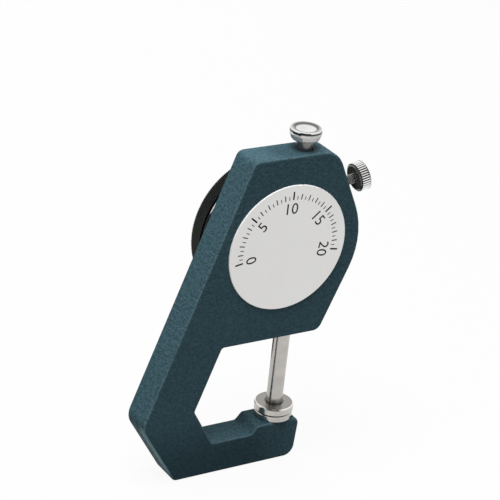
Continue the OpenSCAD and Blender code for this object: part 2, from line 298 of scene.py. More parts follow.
class Grain(Enum):
    """Which way the tool marks of a metal run."""

    AROUND_Z = "rings around the spindle"
    AROUND_DIAL = "rings around the dial axis"
    AROUND_LOCK = "rings around the lock screw"
    CLOUDY = "no direction"


@dataclass(frozen=True)
class Datum:
    """Places shared with the solids, in metres and radians."""

    dial_x: float = 4.3591 * MM
    dial_z: float = 60.5 * MM
    half_thick: float = 4.25 * MM
    lock_z: float = 70.9 * MM
    lock_tilt: float = math.radians(12.0)

    def dial(self, ahead: float) -> Matrix:
        """Frame on the dial axis ahead of the front face, x right and y up seen from the front."""
        axes = Matrix(((1, 0, 0, 0), (0, 0, -1, 0), (0, 1, 0, 0), (0, 0, 0, 1)))
        return Matrix.Translation((self.dial_x, -self.half_thick - ahead, self.dial_z)) @ axes

    def back(self, behind: float) -> Matrix:
        """Frame on the dial axis behind the back face, x right and y up seen from behind."""
        axes = Matrix(((-1, 0, 0, 0), (0, 0, 1, 0), (0, 1, 0, 0), (0, 0, 0, 1)))
        return Matrix.Translation((self.dial_x, self.half_thick + behind, self.dial_z)) @ axes

    def lock(self, out: float) -> Matrix:
        """Frame along the lock screw, z outward, at a distance from the spindle axis."""
        turn = Matrix.Rotation(self.lock_tilt - math.pi / 2, 4, "Y")
        return Matrix.Translation((0, 0, self.lock_z)) @ turn @ Matrix.Translation((0, 0, out))


DATUM = Datum()


@dataclass(frozen=True)
class HammeredPaint:
    """Thick textured enamel: small soft lumps with pale flecks, and light and shade painted by place.

    The limits of the flat faces, of their rims and of each direction compare parts of the
    surface normal; those of a place are in metres. A name that ends in mix is a share of the
    colour that is mixed in.
    """

    name: str = "hammered_teal"
    deep: Colour = (0.029, 0.062, 0.077)
    pale: Colour = (0.058, 0.116, 0.141)
    # Colour of the painted highlight along the back rim.
    worn: Colour = (0.105, 0.165, 0.19)
    shadow: Colour = (0.011, 0.027, 0.035)
    # Colour of the painted highlight on the slanted edge under the spine, where light bounces up from
    # the floor.
    rubbed: Colour = (0.24, 0.4, 0.42)
    lump: Noise = Noise(1350.0, 3.0, 0.6)
    fine: Noise = Noise(3645.0)
    cloud: Noise = Noise(60.0)
    relief: Relief = Relief(0.6 * MM, 1.0)
    relief_fine: float = 0.3
    rough: float = 0.62
    fleck_polish: float = 0.14
    cloud_rough: float = 0.1
    gloss: float = 0.03
    fleck: Rise = Rise(0.38, 0.63)
    fleck_fine: float = 0.35
    fleck_mix: float = 0.8
    fleck_calm: float = 0.28
    flat_mix: float = 0.14
    cloud_mix: float = 0.25
    flat: Rise = Rise(0.9, 1.0)
    rim_start: Rise = Rise(0.02, 0.4)
    rim_end: Rise = Rise(0.6, 0.95)
    backward: Rise = Rise(-0.1, 0.1)
    upward: Rise = Rise(0.2, 0.8)
    level: Rise = Rise(0.5, 0.9)
    spineward: Rise = Rise(0.15, 0.4)
    downward: Rise = Rise(0.3, 0.7)
    slanted: Rise = Rise(0.02, 0.3)
    # Shares of painted shade on the front rim and the lower arm's top, painted shade darker towards the
    # bottom of the faces, and a painted shadow of the knob round the stem.
    front_rim_mix: float = 0.6
    arm_top: Rise = Rise(11.0 * MM, 20.0 * MM)
    arm_top_mix: float = 0.3
    low_face: Rise = Rise(3.0 * MM, 21.0 * MM)
    past_anvil: Rise = Rise(-6.0 * MM, 10.0 * MM)
    low_face_mix: float = 0.6
    stem_x: float = 5.0 * MM
    stem_ring: Rise = Rise(1.0 * MM, 8.0 * MM)
    top_edge: Rise = Rise(83.0 * MM, 84.0 * MM)
    stem_mix: float = 0.5
    # Shares of the painted highlight on the back rim, broken up by the lumps, and of painted shade on
    # the lower rims.
    worn_mix: float = 0.1
    worn_lump_mix: float = 0.8
    belly_mix: float = 0.8
    # Where and how strongly the painted highlight lies on the slanted edge.
    back_edge: Rise = Rise(1.0 * MM, 3.4 * MM)
    off_base: Rise = Rise(0.5 * MM, 4.0 * MM)
    rubbed_mix: float = 0.7

    def make(self) -> Material:
        """Builds the material.

        Returns:
            The material.
        """
        graph = Graph(self.name)
        here = graph.place()
        at = graph.split(here)
        normal = graph.facing()
        lumps = graph.noise(here, self.lump)
        fine = graph.noise(here, self.fine)
        broad = graph.noise(here, self.cloud)
        fleck = self.fleck.of(mixed(lumps, fine, self.fleck_fine))
        across = normal[1] * normal[1]
        flat = self.flat.of(across)
        share = fleck * (self.fleck_mix - flat * self.fleck_calm) + flat * self.flat_mix
        paint = graph.tint(share + broad * self.cloud_mix, self.deep, self.pale)
        rim = self.rim_start.of(across) * self.rim_end.below(across)
        back = self.backward.of(normal[1])
        # Painted shade on the rim towards the front.
        paint = graph.tint(rim * (1.0 - back) * self.front_rim_mix, paint, self.shadow)
        # Painted shade on the lower arm and faces, and a painted shadow of the knob round the stem.
        paint = self._grime(graph, paint, at, normal[2], flat)
        # Painted highlights on the back rim and the slanted edge, and painted shade on the lower rims.
        paint = self._wear(graph, paint, at, normal, rim * back, lumps)
        polish = self.rough - fleck * self.fleck_polish
        graph.set(
            Base_Color=paint,
            Roughness=polish + (broad - NOISE_MEAN) * self.cloud_rough,
            Specular_IOR_Level=self.gloss,
        )
        graph.bump(mixed(lumps, fine, self.relief_fine), self.relief)
        return graph.material

    def _grime(self, graph: Graph, paint: Socket, at: Sequence[Val], up: Val, flat: Val) -> Socket:
        """Paints shade on the lower arm's top and the faces' low part, and the knob's shadow round the
        stem.

        Args:
            graph: The material's graph.
            paint: The colour so far.
            at: The point's place.
            up: The normal's upward part.
            flat: Mask of the two faces.

        Returns:
            The darkened colour.
        """
        x, y, z = at
        # Painted shade on the top of the lower arm.
        arm_top = self.upward.of(up) * self.arm_top.below(z)
        paint = graph.tint(arm_top * self.arm_top_mix, paint, self.shadow)
        # Painted shade, darker towards the bottom of the faces.
        low_face = flat * self.low_face.below(z) * self.past_anvil.of(x)
        paint = graph.tint(low_face * self.low_face_mix, paint, self.shadow)
        # Painted shadow of the knob on the top round the stem.
        ring = self.stem_ring.below(length(x - self.stem_x, y))
        top = self.level.of(up) * self.top_edge.of(z)
        return graph.tint(top * ring * self.stem_mix, paint, self.shadow)

    def _wear(
        self,
        graph: Graph,
        paint: Socket,
        at: Sequence[Val],
        normal: Sequence[Val],
        edge: Val,
        lumps: Val,
    ) -> Socket:
        """Paints highlights on the back face's rim and the slanted edge under the spine, and shade on
        low rims.

        Args:
            graph: The material's graph.
            paint: The colour so far.
            at: The point's place.
            normal: The parts of its normal.
            edge: Mask of the back face's rim.
            lumps: Noise of the lumps, which breaks up the painted highlight on the rim.

        Returns:
            The worn colour.
        """
        down = 0.0 - normal[2]
        spine = self.spineward.of(normal[0])
        belly = self.downward.of(down) * (1.0 - spine)
        patchy = lumps * self.worn_lump_mix + self.worn_mix
        # Painted highlight along the back rim, patchy with the lumps.
        paint = graph.tint(edge * (1.0 - belly) * patchy, paint, self.worn)
        # Painted shade on the lower rims.
        paint = graph.tint(edge * belly * self.belly_mix, paint, self.shadow)
        # Painted highlight along the slanted edge under the spine.
        slant = self.slanted.of(down) * spine * self.back_edge.of(at[1]) * self.off_base.of(at[2])
        return graph.tint(slant * self.rubbed_mix, paint, self.rubbed)


@dataclass(frozen=True)
class Stain:
    """A band of a turned piece with painted shade; a tone above one makes it a painted highlight.

    The tone multiplies the metal's shade. Radii, heights along the axis and the softness of
    their limits are in millimetres, with FAR for an open end. The last value is the share of
    bare metal left inside the band.
    """

    tone: float
    radius: Span = (-FAR, FAR)
    height: Span = (-FAR, FAR)
    soft: float = 0.06
    metal: float = 1.0

    def _past(self, value: Val, limit: float) -> Val:
        """One past a limit and zero before it."""
        return Rise(limit * MM - self.soft * MM, limit * MM + self.soft * MM).of(value)

    def _within(self, value: Val, span: Span) -> Val:
        """One between two limits and zero outside them."""
        return self._past(value, span[0]) * (1.0 - self._past(value, span[1]))

    def mask(self, radius: Val, height: Val) -> Val:
        """One inside the band and zero outside it."""
        return self._within(radius, self.radius) * self._within(height, self.height)


@dataclass(frozen=True)
class TooledMetal:
    """Bare or plated metal with faint tool marks and bands of painted shade and painted highlight.

    Below a given height the metal is painted dark as shade; a height of zero leaves all of it bright.
    """

    name: str
    colour: Colour
    shade: Colour
    rough: float
    marks: float
    grain: Grain
    # Bands of painted shade and highlight, and painted shade below a height.
    stains: Tuple[Stain, ...] = ()
    dull_below: float = 0.0
    dull_fade: float = 0.5 * MM
    dull_tone: float = 0.03
    rings: Noise = Noise(9000.0, 2.0, 0.6)
    cloud: Noise = Noise(240.0, 3.0, 0.55)
    ring_mix: float = 0.3
    cloud_rough: float = 0.08
    contrast: Rise = Rise(0.3, 0.7)
    relief: Relief = Relief(0.004 * MM, 0.35)

    def _turned(self, graph: Graph) -> Tuple[Val, Val]:
        """Measures from the axis that the piece was turned on.

        Args:
            graph: The material's graph.

        Returns:
            Radius from the axis and height along it.
        """
        turn, origin = ZERO, ZERO
        if self.grain is Grain.AROUND_LOCK:
            turn, origin = (0.0, math.pi / 2 - DATUM.lock_tilt, 0.0), (0.0, 0.0, DATUM.lock_z)
        if self.grain is Grain.AROUND_DIAL:
            turn, origin = (-math.pi / 2, 0.0, 0.0), (DATUM.dial_x, 0.0, DATUM.dial_z)
        x, y, z = graph.split(graph.place(turn=turn, origin=origin))
        return length(x, y), z

    def make(self) -> Material:
        """Builds the material.

        Returns:
            The material.
        """
        graph = Graph(self.name)
        here = graph.place()
        lay = here
        radius, height = self._turned(graph)
        if self.grain is not Grain.CLOUDY:
            lay = graph.node("ShaderNodeCombineXYZ", {}, {"X": radius, "Z": height}).outputs[0]
        rings = graph.noise(lay, self.rings)
        cloud = graph.noise(here, self.cloud)
        light = self.contrast.of(mixed(cloud, rings, self.ring_mix))
        colour = graph.tint(light, self.shade, self.colour)
        metal: Number = 1.0
        # Painted shade and painted highlights in bands, some of them less mirror-like.
        for painted_light in self.stains:
            inside = painted_light.mask(radius, height)
            colour = graph.tint(inside, colour, toned(self.shade, painted_light.tone))
            if painted_light.metal < 1.0:
                metal = metal - inside * (1.0 - painted_light.metal)
        # Painted shade below a height.
        if self.dull_below > 0.0:
            fade = Rise(self.dull_below - self.dull_fade, self.dull_below + self.dull_fade)
            bright = fade.of(graph.split(here)[2])
            colour = graph.tint(bright, toned(self.shade, self.dull_tone), colour)
        scored = self.rough + (rings - NOISE_MEAN) * self.marks
        graph.set(
            Base_Color=colour,
            Metallic=metal,
            Roughness=scored + (cloud - NOISE_MEAN) * self.cloud_rough,
        )
        graph.bump(rings, self.relief)
        return graph.material


@dataclass(frozen=True)
class SatinSheet:
    """Pale silver sheet with a soft even sheen and a painted highlight on its cut edge."""

    name: str = "silver_sheet"
    colour: Colour = (0.75, 0.745, 0.73)
    # The cut edge is painted matt near-white as a painted highlight.
    edge: Colour = (0.95, 0.95, 0.95)
    dim: float = 0.93
    brush: Noise = Noise(7000.0, 2.0, 0.6)
    brush_lay: Triple = (0.02, 1.0, 1.0)
    brush_mix: float = 0.4
    brush_rough: float = 0.12
    cloud: Noise = Noise(120.0)
    flat: Rise = Rise(0.6, 0.98)
    rough: float = 0.4
    relief: Relief = Relief(0.003 * MM, 0.3)

    def make(self) -> Material:
        """Builds the material.

        Returns:
            The material.
        """
        graph = Graph(self.name)
        brushed = graph.noise(graph.place(scale=self.brush_lay), self.brush)
        cloud = graph.noise(graph.place(), self.cloud)
        across = graph.facing()[1]
        flat = self.flat.of(across * across)
        even = mixed(cloud, brushed, self.brush_mix)
        sheet = graph.tint(even, toned(self.colour, self.dim), self.colour)
        # The faces keep the metal sheet; the edges get the matt near-white painted highlight.
        graph.set(
            Base_Color=graph.tint(flat, self.edge, sheet),
            Metallic=flat,
            Roughness=self.rough + (brushed - NOISE_MEAN) * self.brush_rough,
        )
        graph.bump(brushed, self.relief)
        return graph.material


@dataclass(frozen=True)
class Enamel:
    """Smooth opaque coating, such as the white of a dial or the black of its print."""

    name: str
    colour: Colour
    rough: float
    lift: float = 1.25
    grain: Noise = Noise(2600.0, 3.0, 0.55)
    cloud: Noise = Noise(130.0)
    cloud_mix: float = 0.4
    cloud_rough: float = 0.12
    gloss: float = 0.15
    relief: Relief = Relief(0.01 * MM, 0.4)

    def make(self) -> Material:
        """Builds the material.

        Returns:
            The material.
        """
        graph = Graph(self.name)
        grain = graph.noise(graph.place(), self.grain)
        cloud = graph.noise(graph.place(), self.cloud)
        even = mixed(grain, cloud, self.cloud_mix)
        graph.set(
            Base_Color=graph.tint(even, self.colour, toned(self.colour, self.lift)),
            Roughness=self.rough + (cloud - NOISE_MEAN) * self.cloud_rough,
            Specular_IOR_Level=self.gloss,
        )
        graph.bump(grain, self.relief)
        return graph.material


@dataclass(frozen=True)
class RibbedEnamel:
    """Black coating on a fine knurl, rubbed on the crests and dark in the grooves."""

    name: str
    groove: Colour
    crest: Colour
    rough: float
    ribs: Rise
    crest_mix: float = 0.7
    grain: Noise = Noise(2600.0, 3.0, 0.55)
    grain_mix: float = 0.6
    grain_rough: float = 0.1
    gloss: float = 0.15
    relief: Relief = Relief(0.01 * MM, 0.4)

    def make(self) -> Material:
        """Builds the material.

        Returns:
            The material.
        """
        graph = Graph(self.name)
        x, _, z = graph.split(graph.place(origin=(DATUM.dial_x, 0.0, DATUM.dial_z)))
        grain = graph.noise(graph.place(), self.grain)
        rubbed = self.ribs.of(length(x, z)) * (grain * self.grain_mix + self.crest_mix)
        graph.set(
            Base_Color=graph.tint(rubbed, self.groove, self.crest),
            Roughness=self.rough + (grain - NOISE_MEAN) * self.grain_rough,
            Specular_IOR_Level=self.gloss,
        )
        graph.bump(grain, self.relief)
        return graph.material


@dataclass(frozen=True)
class Crystal:
    """Clear sheet over the dial, faintly hazed."""

    name: str = "clear_crystal"
    colour: Colour = (0.93, 0.96, 0.97)
    haze: Noise = Noise(90.0)
    rough: float = 0.03
    haze_rough: float = 0.05
    cover: float = 0.1
    haze_cover: float = 0.04
    gloss: float = 0.6

    def make(self) -> Material:
        """Builds the material.

        Returns:
            The material.
        """
        graph = Graph(self.name)
        haze = graph.noise(graph.place(), self.haze)
        graph.set(
            Base_Color=self.colour,
            Roughness=self.rough + haze * self.haze_rough,
            Alpha=self.cover + haze * self.haze_cover,
            Specular_IOR_Level=self.gloss,
        )
        return graph.material


Finish = Union[HammeredPaint, TooledMetal, SatinSheet, Enamel, RibbedEnamel, Crystal]
INK = Enamel("printing_ink", (0.012, 0.012, 0.014), rough=0.5, lift=1.4)


@dataclass(frozen=True)
class Mark:
    """One kind of printed mark: how many divisions lie between two of it, and its size in metres."""

    every: int
    width: float
    length: float


class Bench:
    """Hand tools: small wrappers around Blender's modelling operators."""

    corner_share: float = 0.3
    text_share: float = 1.38
    text_steps: int = 3
    ring_steps: int = 160

    @staticmethod
    def clear() -> None:
        """Leaves edit mode and deselects everything."""
        if bpy.context.object is not None and bpy.context.object.mode != "OBJECT":
            bpy.ops.object.mode_set(mode="OBJECT")
        bpy.ops.object.select_all(action="DESELECT")

    @staticmethod
    def pick(*pieces: Piece) -> None:
        """Selects pieces alone.

        Args:
            pieces: The pieces; the first becomes the active one.
        """
        Bench.clear()
        for piece in pieces:
            piece.select_set(True)
        bpy.context.view_layer.objects.active = pieces[0]

    @staticmethod
    def fix() -> Piece:
        """Moves the active piece's place into its mesh and returns the piece."""
        bpy.ops.object.transform_apply(location=True, rotation=True, scale=True)
        return bpy.context.object

    @staticmethod
    def join(name: str, parts: Sequence[Piece]) -> Piece:
        """Joins meshes into one named piece.

        Args:
            name: The piece's name.
            parts: The meshes.

        Returns:
            The piece.
        """
        Bench.pick(*parts)
        if len(parts) > 1:
            bpy.ops.object.join()
        made = bpy.context.object
        made.name = made.data.name = name
        return made

    @staticmethod
    def settle(piece: Piece, place: Matrix) -> Piece:
        """Puts a piece in its place and moves that place into its mesh.

        Args:
            piece: The piece.
            place: Where it goes.

        Returns:
            The same piece.
        """
        Bench.pick(piece)
        piece.matrix_world = place @ piece.matrix_world
        return Bench.fix()

    @staticmethod
    def stroke(mark: Mark, thick: float, inner: float) -> Piece:
        """One printed bar on the y axis, with softened corners.

        Args:
            mark: Gives its width and length.
            thick: Height of the ink.
            inner: Distance of its near end from the centre.

        Returns:
            The bar, lying on the plane z = 0.
        """
        Bench.clear()
        centre = (0, inner + mark.length / 2, thick / 2)
        size = (mark.width, mark.length, thick)
        bpy.ops.mesh.primitive_cube_add(size=1.0, location=centre, scale=size)
        bar = Bench.fix()
        bpy.ops.object.mode_set(mode="EDIT")
        bpy.ops.mesh.select_mode(type="EDGE")
        bpy.ops.mesh.select_all(action="DESELECT")
        bpy.ops.object.mode_set(mode="OBJECT")
        for edge in bar.data.edges:
            start, end = (bar.data.vertices[i].co for i in edge.vertices)
            edge.select = abs(start.z - end.z) > thick / 2
        bpy.ops.object.mode_set(mode="EDIT")
        bpy.ops.mesh.bevel(offset=Bench.corner_share * mark.width, segments=1, affect="EDGES")
        bpy.ops.object.mode_set(mode="OBJECT")
        return bar

    @staticmethod
    def around(piece: Piece, count: int, step: float) -> Piece:
        """Repeats a piece around the z axis with an applied array.

        Args:
            piece: The first copy.
            count: How many copies in all.
            step: Angle between copies, in radians, clockwise seen from above.

        Returns:
            The same piece, holding all copies.
        """
        Bench.clear()
        bpy.ops.object.empty_add(location=ZERO, rotation=(0, 0, -step))
        turn = bpy.context.object
        Bench.pick(piece)
        array = piece.modifiers.new("around", "ARRAY")
        array.use_relative_offset = False
        array.use_object_offset = True
        array.offset_object = turn
        array.count = count
        bpy.context.view_layer.update()
        bpy.ops.object.modifier_apply(modifier=array.name)
        bpy.data.objects.remove(turn)
        return piece

    @staticmethod
    def numeral(number: int, height: float, thick: float, place: Matrix) -> Piece:
        """A plain printed number.

        Args:
            number: The number.
            height: Height of the digits.
            thick: Height of the ink.
            place: Where its centre goes on the plane, and its turn.

        Returns:
            The number as a mesh, lying on the plane z = 0.
        """
        Bench.clear()
        bpy.ops.object.text_add(location=ZERO)
        text = bpy.context.object.data
        text.body = str(number)
        text.align_x = "CENTER"
        text.align_y = "CENTER"
        text.size = height * Bench.text_share
        text.extrude = thick / 2
        text.resolution_u = Bench.text_steps
        bpy.ops.object.convert(target="MESH")
        made = bpy.context.object
        low = [min(v.co[i] for v in made.data.vertices) for i in range(3)]
        high = [max(v.co[i] for v in made.data.vertices) for i in range(3)]
        middle = Vector(((low[0] + high[0]) / 2, (low[1] + high[1]) / 2, low[2]))
        made.data.transform(Matrix.Translation(-middle))
        made.matrix_world = place
        return Bench.fix()

    @staticmethod
    def band(radius: float, width: float, thick: float) -> Piece:
        """A flat printed ring on the plane z = 0.

        Args:
            radius: Its outer radius.
            width: Width of the ring.
            thick: Height of the ink.

        Returns:
            The ring.
        """
        Bench.clear()
        bpy.ops.mesh.primitive_circle_add(
            vertices=Bench.ring_steps, radius=radius, fill_type="NGON", location=ZERO
        )
        ring = bpy.context.object
        bpy.ops.object.mode_set(mode="EDIT")
        bpy.ops.mesh.select_all(action="SELECT")
        bpy.ops.mesh.inset(thickness=width)
        bpy.ops.mesh.delete(type="FACE")
        bpy.ops.mesh.select_all(action="SELECT")
        bpy.ops.mesh.extrude_region_move(TRANSFORM_OT_translate={"value": (0, 0, thick)})
        bpy.ops.mesh.select_all(action="SELECT")
        bpy.ops.mesh.normals_make_consistent(inside=False)
        bpy.ops.object.mode_set(mode="OBJECT")
        return ring


def dress(nodes: Solids, names: Sequence[str], finish: Finish) -> None:
    """Gives solids one finish.

    Args:
        nodes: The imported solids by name.
        names: The solids to dress.
        finish: Their finish.
    """
    material = finish.make()
    for name in names:
        solid = nodes[name]
        solid.data.materials.clear()
        solid.data.materials.append(material)
        LOG.info("dressed %s in %s", name, material.name)


def attach(piece: Piece, body: str, material: Material) -> None:
    """Dresses a new piece and lets it ride on a body.

    Args:
        piece: The finished mesh.
        body: The body that carries it.
        material: Its finish.
    """
    piece.data.materials.clear()
    piece.data.materials.append(material)
    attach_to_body(piece, body)
    LOG.info("made %s on %s: %d faces", piece.name, body, len(piece.data.polygons))


def polar(radius: float, angle: float) -> Matrix:
    """Place at a radius and an angle from the x axis on the plane z = 0, not turned."""
    return Matrix.Translation((radius * math.cos(angle), radius * math.sin(angle), 0))


@dataclass
class FrameCasting:
    """The painted frame with its back plate and the print on the plate."""

    plate_out: float = 0.3 * MM
    arc_r: float = 12.7 * MM
    sweep: float = math.radians(200.0)
    divisions: int = 40
    reading: Tuple[int, ...] = (0, 5, 10, 15, 20)
    marks: Tuple[Mark, ...] = (
        Mark(every=1, width=0.2 * MM, length=1.0 * MM),
        Mark(every=2, width=0.26 * MM, length=1.5 * MM),
        Mark(every=10, width=0.42 * MM, length=2.2 * MM),
    )
    digit: float = 3.0 * MM
    digit_in: float = 2.3 * MM
    ink: float = 0.02 * MM
    paint: HammeredPaint = HammeredPaint()
    sheet: SatinSheet = SatinSheet()

    def build(self) -> Piece:
        """Prints a plain scale on the back plate: an arc of marks with numbers.

        Returns:
            The print as one piece.
        """
        step = self.sweep / self.divisions
        parts: List[Piece] = []
        for mark in self.marks:
            bar = Bench.stroke(mark, self.ink, self.arc_r)
            Bench.settle(bar, Matrix.Rotation(self.sweep / 2, 4, "Z"))
            parts.append(Bench.around(bar, self.divisions // mark.every + 1, step * mark.every))
        for number in self.reading:
            lean = self.sweep * (0.5 - number / self.reading[-1])
            at = polar(self.arc_r - self.digit_in, math.pi / 2 + lean)
            place = at @ Matrix.Rotation(lean, 4, "Z")
            parts.append(Bench.numeral(number, self.digit, self.ink, place))
        made = Bench.join("plate_scale", parts)
        return Bench.settle(made, DATUM.back(self.plate_out))

    def dress(self, nodes: Solids, ink: Material) -> None:
        """Gives the frame and the plate their finishes and adds the print.

        Args:
            nodes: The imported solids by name.
            ink: Finish of the print.
        """
        dress(nodes, ["frame"], self.paint)
        dress(nodes, ["back_plate"], self.sheet)
        attach(self.build(), "frame", ink)


@dataclass
class MeasuringLine:
    """Spindle, foot, anvil and lift knob."""

    steel: TooledMetal = TooledMetal(
        "ground_steel",
        colour=(0.53, 0.51, 0.485),
        shade=(0.43, 0.415, 0.395),
        rough=0.22,
        marks=0.14,
        grain=Grain.AROUND_Z,
        stains=(
            # Painted shade on the top of the foot, deeper in the corner round the spindle and on the
            # spindle just above it.
            Stain(0.75, radius=(2.2, 4.56), height=(14.62, 14.8)),
            Stain(0.25, radius=(2.05, 2.5), height=(14.6, 14.85), soft=0.1),
            Stain(0.55, radius=(-FAR, 2.2), height=(14.6, 15.3), soft=0.3),
            # Painted highlight on the upper edge of the foot, and a fine painted dark line inside it.
            Stain(1.9, radius=(4.56, FAR), height=(14.42, 14.8)),
            Stain(0.3, radius=(4.47, 4.6), height=(14.6, 14.8)),
            # Painted shade in the seam between the foot and the anvil.
            Stain(0.1, radius=(4.2, FAR), height=(12.42, 12.86)),
            # Painted shade on the stem under the knob, less mirror-like there.
            Stain(0.58, radius=(-FAR, 2.4), height=(84.0, 86.72), soft=0.02, metal=0.6),
        ),
    )
    bright: TooledMetal = TooledMetal(
        "bright_knob",
        colour=(0.86, 0.86, 0.85),
        shade=(0.72, 0.72, 0.71),
        rough=0.1,
        marks=0.06,
        grain=Grain.AROUND_Z,
        stains=(
            # Two rings of painted dark reflection on the top of the knob.
            Stain(0.22, radius=(2.5, 3.2), height=(89.1, FAR), soft=0.15),
            Stain(0.62, radius=(3.25, 3.62), height=(89.5, FAR), soft=0.1),
            # Painted shade in a line under its upper edge, and its pale side painted half matt in place
            # of reflections.
            Stain(0.1, radius=(3.6, FAR), height=(88.9, 89.4)),
            Stain(0.92, height=(-FAR, 88.75), soft=0.15, metal=0.35),
        ),
    )

    def dress(self, nodes: Solids) -> None:
        """Gives the measuring line its metals."""
        dress(nodes, ["spindle", "contact_foot", "anvil", "guide_pin"], self.steel)
        dress(nodes, ["lift_knob"], self.bright)


@dataclass
class DialHead:
    """Bezel, dial face with its print, pointer and crystal."""

    face: float = 2.05 * MM
    rim: float = 15.6 * MM
    rim_line: float = 0.12 * MM
    divisions: int = 200
    numbers: int = 20
    marks: Tuple[Mark, ...] = (
        Mark(every=1, width=0.11 * MM, length=1.2 * MM),
        Mark(every=5, width=0.14 * MM, length=1.7 * MM),
        Mark(every=10, width=0.2 * MM, length=2.3 * MM),
    )
    digit: float = 1.9 * MM
    digit_in: float = 3.9 * MM
    ink: float = 0.02 * MM
    knurl: RibbedEnamel = RibbedEnamel(
        "bezel_black",
        groove=(0.0006, 0.0006, 0.0006),
        crest=(0.027, 0.031, 0.028),
        rough=0.5,
        ribs=Rise(19.14 * MM, 19.25 * MM),
    )
    ring: Enamel = Enamel("ring_black", (0.006, 0.006, 0.0065), rough=0.45)
    hand: Enamel = Enamel("hand_black", (0.012, 0.012, 0.013), rough=0.35)
    white: Enamel = Enamel("dial_white", (0.86, 0.86, 0.835), rough=0.55, lift=1.04)
    glass: Crystal = Crystal()
    washer: TooledMetal = TooledMetal(
        "bright_washer",
        colour=(0.8, 0.8, 0.79),
        shade=(0.7, 0.7, 0.69),
        rough=0.16,
        marks=0.1,
        grain=Grain.AROUND_DIAL,
        # Painted shade darkens the washer below this height, leaving its upper part bright.
        dull_below=68.5 * MM,
    )

    def build(self) -> Piece:
        """Prints the dial: a mark for each tenth, longer ones for halves and wholes, and numbers.

        Returns:
            The print as one piece.
        """
        step = math.tau / self.divisions
        parts: List[Piece] = []
        for mark in self.marks:
            bar = Bench.stroke(mark, self.ink, self.rim - mark.length)
            parts.append(Bench.around(bar, self.divisions // mark.every, step * mark.every))
        parts.append(Bench.band(self.rim + self.rim_line, self.rim_line, self.ink))
        for number in range(self.numbers):
            at = polar(self.rim - self.digit_in, math.pi / 2 - math.tau * number / self.numbers)
            parts.append(Bench.numeral(number, self.digit, self.ink, at))
        made = Bench.join("dial_print", parts)
        return Bench.settle(made, DATUM.dial(self.face))

    def dress(self, nodes: Solids, ink: Material) -> None:
        """Gives the dial head its finishes and adds the print.

        Args:
            nodes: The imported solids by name.
            ink: Finish of the print.
        """
        dress(nodes, ["bezel"], self.knurl)
        dress(nodes, ["crystal_ring"], self.ring)
        dress(nodes, ["pointer_hand"], self.hand)
        dress(nodes, ["dial_face"], self.white)
        dress(nodes, ["crystal"], self.glass)
        dress(nodes, ["bezel_washer"], self.washer)
        attach(self.build(), "bezel", ink)


@dataclass
class LockScrew:
    """Knurled thumb screw with a thread on its bare shank.

    The thread's section is a triangle; ridge_height is its height over the radius round it.
    """

    root: float = 1.02 * MM
    crest: float = 1.23 * MM
    ridge_sides: int = 3
    ridge_height: float = 1.5
    lead: float = 0.45 * MM
    start: float = 10.75 * MM
    turns: int = 12
    steps: int = 28
    weld: float = 0.001 * MM
    plated: TooledMetal = TooledMetal(
        "bright_screw",
        colour=(0.95, 0.945, 0.935),
        shade=(0.84, 0.835, 0.82),
        rough=0.18,
        marks=0.1,
        grain=Grain.AROUND_LOCK,
        stains=(
            # Painted shade on the inner face of the head, in the grooves between its ribs and on its
            # outer edge.
            Stain(0.12, radius=(1.3, FAR), height=(-FAR, 16.6), soft=0.03, metal=0.3),
            Stain(0.04, radius=(3.2, 3.53), height=(16.5, 19.2)),
            Stain(0.2, radius=(3.3, FAR), height=(18.85, 19.3)),
            # Painted shade on the crests and, darker, the roots of the thread.
            Stain(0.45, radius=(1.12, 1.3), height=(-FAR, 16.3)),
            Stain(0.08, radius=(-FAR, 1.12), height=(-FAR, 16.3)),
        ),
    )

    def build(self) -> Piece:
        """Winds a three-sided ridge round the bare shank between the frame and the head.

        Returns:
            The thread as one piece.
        """
        Bench.clear()
        reach = (self.crest - self.root) / self.ridge_height
        bpy.ops.mesh.primitive_circle_add(
            vertices=self.ridge_sides,
            radius=reach,
            fill_type="NOTHING",
            location=(self.crest - reach, 0, 0),
            rotation=(math.pi / 2, math.pi / 2, 0),
        )
        ridge = Bench.fix()
        wind = ridge.modifiers.new("wind", "SCREW")
        wind.axis = "Z"
        wind.screw_offset = self.lead
        wind.iterations = self.turns
        wind.steps = wind.render_steps = self.steps
        bpy.ops.object.modifier_apply(modifier=wind.name)
        bpy.ops.object.mode_set(mode="EDIT")
        bpy.ops.mesh.select_all(action="SELECT")
        bpy.ops.mesh.remove_doubles(threshold=self.weld)
        bpy.ops.mesh.fill_holes(sides=0)
        bpy.ops.mesh.select_all(action="SELECT")
        bpy.ops.mesh.normals_make_consistent(inside=False)
        bpy.ops.object.mode_set(mode="OBJECT")
        made = Bench.join("lock_thread", [ridge])
        return Bench.settle(made, DATUM.lock(self.start))

    def dress(self, nodes: Solids) -> None:
        """Gives the screw its plated finish and adds the thread."""
        dress(nodes, ["lock_screw"], self.plated)
        attach(self.build(), "lock_screw", nodes["lock_screw"].data.materials[0])


